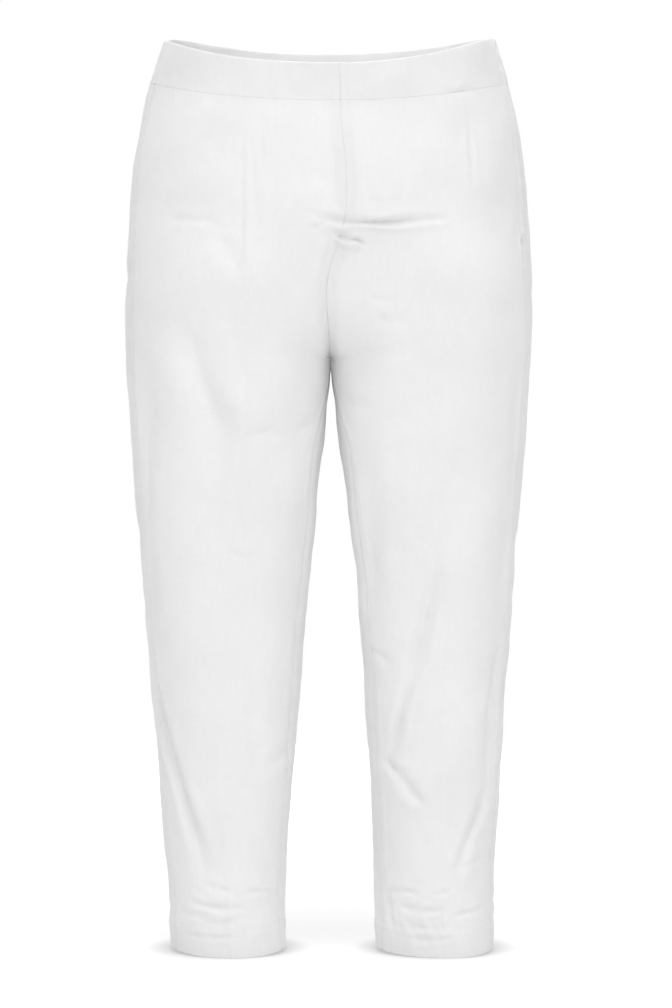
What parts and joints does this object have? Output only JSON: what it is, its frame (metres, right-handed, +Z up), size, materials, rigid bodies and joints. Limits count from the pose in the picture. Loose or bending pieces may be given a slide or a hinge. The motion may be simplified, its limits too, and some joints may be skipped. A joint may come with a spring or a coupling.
{
  "type": "cropped tapered trousers",
  "caption": "plain white cropped trousers with a smooth shaped waistband, filled out as worn, legs tapering to narrow open hems",
  "frame": {"origin": "the middle of the waist hollow, 20 mm below the top edge of the waistband at the sides, where the wearer's waist holds the trousers up", "axes": "+Z up along the legs, +Y to the back, so the front faces -Y, +X to the wearer's left"},
  "size_m": [0.3856, 0.2442, 0.8724],
  "materials": {
    "white_twill": "plain white stretch cotton twill, matt, with faintly pressed creases",
    "zip_tape": "white woven zip tape"
  },
  "bodies": {
    "root": {"front_right": "white_twill", "front_left": "white_twill", "back_right": "white_twill", "back_left": "white_twill", "waistband_front_right": "white_twill", "waistband_front_left": "white_twill", "waistband_back": "white_twill", "side_zip": "zip_tape"}
  },
  "joints": []
}
